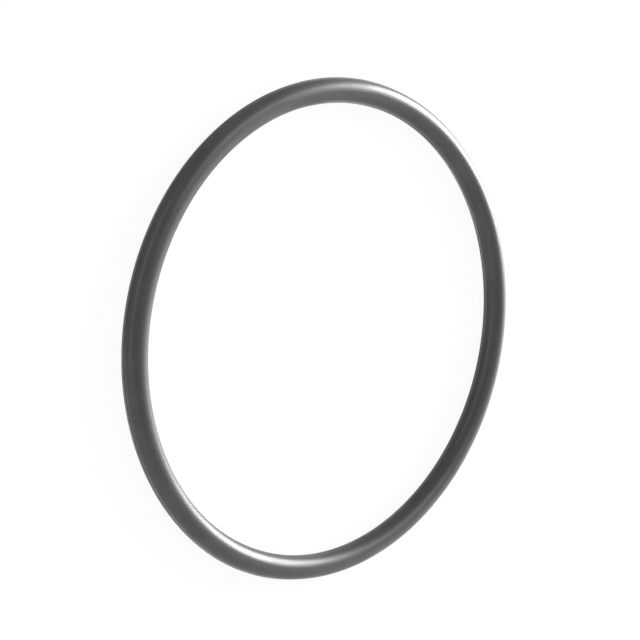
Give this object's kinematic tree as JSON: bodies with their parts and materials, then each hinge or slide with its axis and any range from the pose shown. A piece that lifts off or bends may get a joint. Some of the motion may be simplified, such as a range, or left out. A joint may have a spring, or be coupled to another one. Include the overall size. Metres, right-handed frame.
{
  "type": "rubber o-ring",
  "caption": "Plain round rubber sealing ring of round section, 50 mm inside diameter by 2.65 mm section, for a groove round a shaft, in a bore or in a face.",
  "frame": {"origin": "centre of the ring: on its axis and in the middle plane of its section, where the two mould halves met", "axes": "+Z along the ring's axis, so that the ring lies flat as it comes to rest; X and Y lie in its plane and are alike, because the ring is round"},
  "size_m": [0.0554, 0.0554, 0.0026],
  "materials": {
    "rubber": "satin"
  },
  "bodies": {
    "root": {"o_ring": "rubber"}
  },
  "joints": []
}
